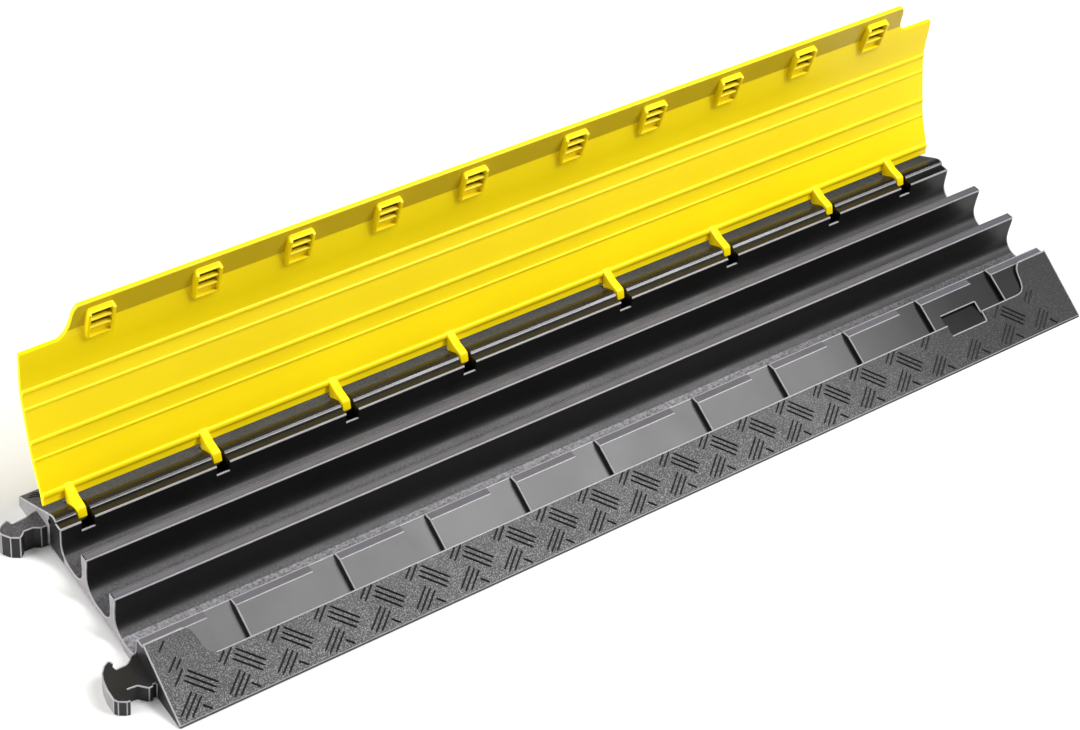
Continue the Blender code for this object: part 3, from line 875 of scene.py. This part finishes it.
# painted shade: the flange's inner faces, picked by row and column, get the darker yellow
painted_shade_faces = np.zeros((rows - 1, wide - 1), np.int32)
on_inner_flange = (line_y[:-1] < BEND[0]) & (line_y[:-1] > FLANGE_END[0] + RIM_KEPT)
painted_shade_faces[on_inner_flange, BORDER_COLUMNS:-BORDER_COLUMNS] = 1
finish_index = np.zeros(len(lid_plate.data.polygons), np.int32)
finish_index[:painted_shade_faces.size] = painted_shade_faces.ravel()
lid_plate.data.materials.append(shaded_flange_plastic)
lid_plate.data.polygons.foreach_set("material_index", finish_index)
print("faces with painted shade", int(finish_index.sum()))

# %% [markdown]
# ## Clips on the flange
#
# Ten small frames stand on the flange's inner face and drop into the pockets of the base. Each is a box rim
# with two bars across, which leaves three little windows. The rim is a section carried round a rectangle
# with rounded corners, and its front is lower, so that it slides in. The windows lie in shade, which is
# painted:
# it could be painted on the flange as a patch, but a thin dark brown plate in each clip has a clean outline.

# %% Clip frames
CLIP_X = np.array([73.0, 173.0, 263.5, 352.5, 443.0, 553.5, 643.5, 734.0, 825.0, 916.5])
CLIP_WIDTH = 25.6
CLIP_ALONG = (7.4, 42.0)
CLIP_HEIGHT = 5.8
CLIP_SLOPE_END = 10.8
CLIP_RIM = 2.9
CLIP_CORNER = 3.4
CLIP_SOFT = 0.6
CLIP_SINK = 0.8
FRONT_SHARE = 0.2
flange_slope = math.atan2(BEND[1] - FLANGE_END[1], BEND[0] - FLANGE_END[0])


def on_flange(x, along, height):
    """A point at a distance along the flange from its free edge, raised square to its inner face."""
    y = FLANGE_END[0] + along * math.cos(flange_slope) + height * math.sin(flange_slope)
    z = FLANGE_END[1] + along * math.sin(flange_slope) - height * math.cos(flange_slope)
    return place(x, *opened(y, z))


def rounded_rectangle(half_x, half_y, radius, steps=4):
    """Points round a rectangle whose corners are quarter circles."""
    quarter = np.radians(np.linspace(0, 90, steps + 1))
    angles = np.concatenate([quarter + turn * math.pi / 2 for turn in range(4)])
    corner_x = np.repeat(np.array([1, -1, -1, 1]), steps + 1) * (half_x - radius)
    corner_y = np.repeat(np.array([1, 1, -1, -1]), steps + 1) * (half_y - radius)
    return corner_x + radius * np.cos(angles), corner_y + radius * np.sin(angles)


def clip_rims():
    """Rims for all clips: rings from outside to inside, each at the height of the rim's section."""
    rim_in = np.array([0, 0, CLIP_SOFT * 0.3, CLIP_SOFT,
                       CLIP_RIM - CLIP_SOFT, CLIP_RIM - CLIP_SOFT * 0.3, CLIP_RIM, CLIP_RIM])
    on_top = np.array([False, True, True, True, True, True, True, False])
    lowered = CLIP_SOFT * np.array([0, 1, 0.3, 0, 0, 0.3, 1, 0])
    middle = sum(CLIP_ALONG) / 2
    half = (CLIP_ALONG[1] - CLIP_ALONG[0]) / 2
    rings = [rounded_rectangle(CLIP_WIDTH / 2 - inset, half - inset, CLIP_CORNER - inset)
             for inset in rim_in]
    x = np.stack([ring[0] for ring in rings])
    along = middle + np.stack([ring[1] for ring in rings])
    share = (along - CLIP_ALONG[0]) / (CLIP_SLOPE_END - CLIP_ALONG[0])
    rise = np.clip(share, FRONT_SHARE, 1) * CLIP_HEIGHT
    height = np.where(on_top[:, None], rise - lowered[:, None], -CLIP_SINK)
    points = on_flange(CLIP_X[:, None, None] + x[None], along[None], height[None])
    faces = grid_faces(*x.shape, wrap_rows=True, wrap_columns=True)
    return points, repeated(faces, x.size, len(CLIP_X))


new_piece("clip_rims", *clip_rims(), yellow_plastic, "lid", "lid_moulding")

# %% Bars across the clips
CLIP_BARS = (19.0, 29.0)
CLIP_BAR_HALF = (1.5, 2.4)
CLIP_BAR_LOWER = 0.5
CLIP_BAR_RING = 10
IN_RIM = 0.8


def clip_bars():
    """Two rounded bars for each clip: an oval section carried across the window."""
    ring = np.linspace(0, 2 * math.pi, CLIP_BAR_RING, endpoint=False)
    middle_x = np.repeat(CLIP_X, len(CLIP_BARS))[:, None, None]
    middle_along = np.tile(CLIP_BARS, len(CLIP_X))[:, None, None]
    reach = CLIP_WIDTH / 2 - CLIP_RIM + IN_RIM
    x = middle_x + np.array([-reach, reach])[None, :, None]
    along = middle_along + CLIP_BAR_HALF[0] * np.cos(ring)
    height = CLIP_HEIGHT - CLIP_BAR_LOWER - CLIP_BAR_HALF[1] * (1 - np.sin(ring))
    points = on_flange(*np.broadcast_arrays(x, along, height))
    sides = repeated(grid_faces(2, len(ring), wrap_columns=True), 2 * len(ring), len(middle_x))
    ends = repeated(np.arange(2 * len(ring)).reshape(2, -1), 2 * len(ring), len(middle_x))
    return points, [*sides, *ends]


new_piece("clip_bars", *clip_bars(), yellow_plastic, "lid", "lid_moulding")

# %% Painted shadow in the clips' windows
WINDOW_DEPTH = np.array([-0.6, 0.35])
UNDER_RIM = 0.5


def shadow_plates():
    """A thin dark plate in each clip, a painted shadow: two rectangles, one below and one above the flange's
    face.
    """
    half_x = CLIP_WIDTH / 2 - CLIP_RIM + UNDER_RIM
    half_along = (CLIP_ALONG[1] - CLIP_ALONG[0]) / 2 - CLIP_RIM + UNDER_RIM
    x = half_x * np.array([-1, 1, 1, -1])
    along = half_along * np.array([-1, -1, 1, 1]) + sum(CLIP_ALONG) / 2
    points = on_flange(CLIP_X[:, None, None] + x, along[None, None], WINDOW_DEPTH[None, :, None])
    box = [*grid_faces(2, 4, wrap_columns=True), range(4), range(4, 8)]
    return points, repeated(box, 8, len(CLIP_X))


# painted shadow: dark plates stand in the clips' windows where shade falls
new_piece("clip_window_shadows", *shadow_plates(), window_shadow_plastic, "lid", "lid_moulding")

# %% [markdown]
# ## Hinge arms
#
# Eight hooked arms reach from the lid's back edge over the rubber ridge and down into its slots, where
# the rod passes through them. An arm is a flat hook cut from its outline: the outline is carried across
# the arm's width and drawn in a little at both ends, which rounds its edges.

# %% The arms
ARM_X = np.array([25.0, 154.5, 285.5, 411.5, 589.5, 718.5, 848.5, 942.5])
ARM_WIDTH = 8.6
ARM_TOP = np.array([(239.0, 54.6), (225.5, 49.0), (215.6, 47.4), (213.6, 46.6), (212.6, 45.0), (210.6, 38.0)])
ARM_EYE_RADIUS = 8.0
ARM_EYE_ANGLES = (196.0, 340.0)
ARM_ROOT_BOTTOM = (237.0, 42.2)
ARM_SOFT = 1.1


def arc(radius, start, end, steps):
    """Points on a circle round the hinge, by angle in degrees, as the open lid has them."""
    angle = np.radians(np.linspace(start, end, steps))
    return np.stack([HINGE_Y + radius * np.cos(angle), HINGE_Z + radius * np.sin(angle)], -1)


def arm_outline():
    """The hook of the open lid: straight over the ridge, round the rod at its eye, and back into the lid."""
    return np.vstack([ARM_TOP, arc(ARM_EYE_RADIUS, *ARM_EYE_ANGLES, 16), ARM_ROOT_BOTTOM])


def arm_points():
    """The outline at six stations across the width, drawn in along its normals at the outer ones."""
    outline = arm_outline()
    along = np.roll(outline, -1, 0) - np.roll(outline, 1, 0)
    inward = np.stack([-along[:, 1], along[:, 0]], -1) / np.linalg.norm(along, axis=1)[:, None]
    drawn_in = ARM_SOFT * np.array([1.0, 0.3, 0.0, 0.0, 0.3, 1.0])
    from_side = ARM_SOFT * np.array([0.0, 0.3, 1.0])
    station = np.concatenate([from_side - ARM_WIDTH / 2, ARM_WIDTH / 2 - from_side[::-1]])
    section = outline[None] + drawn_in[:, None, None] * inward[None]
    x = ARM_X[:, None, None] + station[None, :, None]
    return place(x, section[None, :, :, 0], section[None, :, :, 1]), len(station), len(outline)


points, stations, around = arm_points()
sides = repeated(grid_faces(stations, around, wrap_columns=True), stations * around, len(ARM_X))
two_ends = [np.arange(around), np.arange(around) + (stations - 1) * around]
ends = repeated(two_ends, stations * around, len(ARM_X))
new_piece("hinge_arms", points, [*sides, *ends], yellow_plastic, "lid", "lid_moulding")

# %% [markdown]
# ## Treads on the lid
#
# The lid's outer side, which is walked on when it is shut, has the same basket pattern as the ramps. Here
# the bars follow the arched plate: a bar's points are looked up along the outer face by their distance from
# the hinge edge, so each bar bends with the surface.

# %% Bars on the outer face
LID_MARGIN = 6.0
LID_FIRST_ROW = 8.0
LID_SIDE_MARGIN = 14
outer_y = line_y + outward_y * LID_THICKNESS
outer_z = line_z + outward_z * LID_THICKNESS
outer_along = np.concatenate([[0], np.cumsum(np.hypot(np.diff(outer_y), np.diff(outer_z)))])


def lid_outside(x, s, height):
    """A point at a distance s along the outer face from the hinge edge, raised square to the face."""
    y = np.interp(s, outer_along, outer_y) + height * np.interp(s, outer_along, outward_y)
    z = np.interp(s, outer_along, outer_z) + height * np.interp(s, outer_along, outward_z)
    return place(x, *opened(y, z))


plate_length = float(np.interp(-PLATE_END_Y, -line_y, outer_along))
bars = basket_bars(LID_MARGIN, plate_length - LID_MARGIN, LID_FIRST_ROW, LENGTH - LID_SIDE_MARGIN)
new_piece("lid_treads", bar_points(*bars, lid_outside), bar_faces(len(bars[0])), yellow_plastic, "lid",
          "lid_moulding")

# %% [markdown]
# ## Floor and light
#
# The cover is shown on a plain pale floor. Black rubber shows only what it reflects, so the lamps are large
# softboxes, placed where the pads, the ribs and the ramps mirror them towards the camera. Two wide lights
# could be lamps too, but far ones light every part alike: a soft one from above evens out the floor, and a
# lower, sharper one from the front right brightens the lid and the ramp.

# %% The floor
FLOOR_SIZE = 40.0
FLOOR_DROP = 0.0002


def pale_floor():
    """A large flat square just under the cover."""
    made, tree, output = new_material("pale floor")
    shader = add_node(tree, "ShaderNodeBsdfPrincipled",
                      values={"Base Color": colour("#e6e6e5"), "Roughness": 0.9, "Specular IOR Level": 0.1})
    tree.links.new(shader.outputs["BSDF"], output.inputs["Surface"])
    corners = FLOOR_SIZE / 2 * np.array([(-1, -1, 0), (1, -1, 0), (1, 1, 0), (-1, 1, 0)])
    corners[:, 2] = -FLOOR_DROP
    mesh = bpy.data.meshes.new("floor")
    mesh.from_pydata(corners.tolist(), [], [(0, 1, 2, 3)])
    mesh.materials.append(made)
    floor = bpy.data.objects.new("floor", mesh)
    bpy.context.scene.collection.objects.link(floor)
    return floor


print("stage", pale_floor().name)

# %% Softboxes
def softbox(name, middle, width, height, power):
    """A rectangular lamp at a place in metres, facing the cover's middle, its width along the cover."""
    lamp = bpy.data.lights.new(name, "AREA")
    lamp.shape = "RECTANGLE"
    lamp.size, lamp.size_y = width, height
    lamp.energy = power
    made = bpy.data.objects.new(name, lamp)
    bpy.context.scene.collection.objects.link(made)
    back = Vector(middle).normalized()
    side = Vector((1, 0, 0)) if abs(back.x) < 0.8 else Vector((0, 1, 0))
    side = (side - side.dot(back) * back).normalized()
    turn = Matrix((side, back.cross(side), back)).transposed().to_4x4()
    made.matrix_world = Matrix.Translation(middle) @ turn
    made.visible_camera = False


def wide_light(name, towards, strength, spread):
    """An even light over everything from one direction, with shadows softened by its spread in degrees."""
    made = bpy.data.objects.new(name, bpy.data.lights.new(name, "SUN"))
    made.data.energy = strength
    made.data.angle = math.radians(spread)
    made.rotation_mode = "QUATERNION"
    made.rotation_quaternion = Vector(towards).to_track_quat("Z", "Y")
    bpy.context.scene.collection.objects.link(made)


WORLD_STRENGTH = 0.12

softbox("key", (0.82, -0.42, 2.00), 1.50, 0.95, 37)
softbox("left side", (-1.95, 0.60, 0.50), 1.4, 0.7, 40)
wide_light("top", (-0.35, 0.10, 0.93), 1.05, 60)
wide_light("front", (0.50, -0.55, 0.70), 1.52, 14)

world = bpy.data.worlds.new("studio")
bpy.context.scene.world = world
world.use_nodes = True
surroundings = world.node_tree.nodes["Background"].inputs
surroundings["Color"].default_value = (1, 1, 1, 1)
surroundings["Strength"].default_value = WORLD_STRENGTH
bpy.context.scene.view_settings.view_transform = "Standard"
print("lights", len(bpy.data.lights))
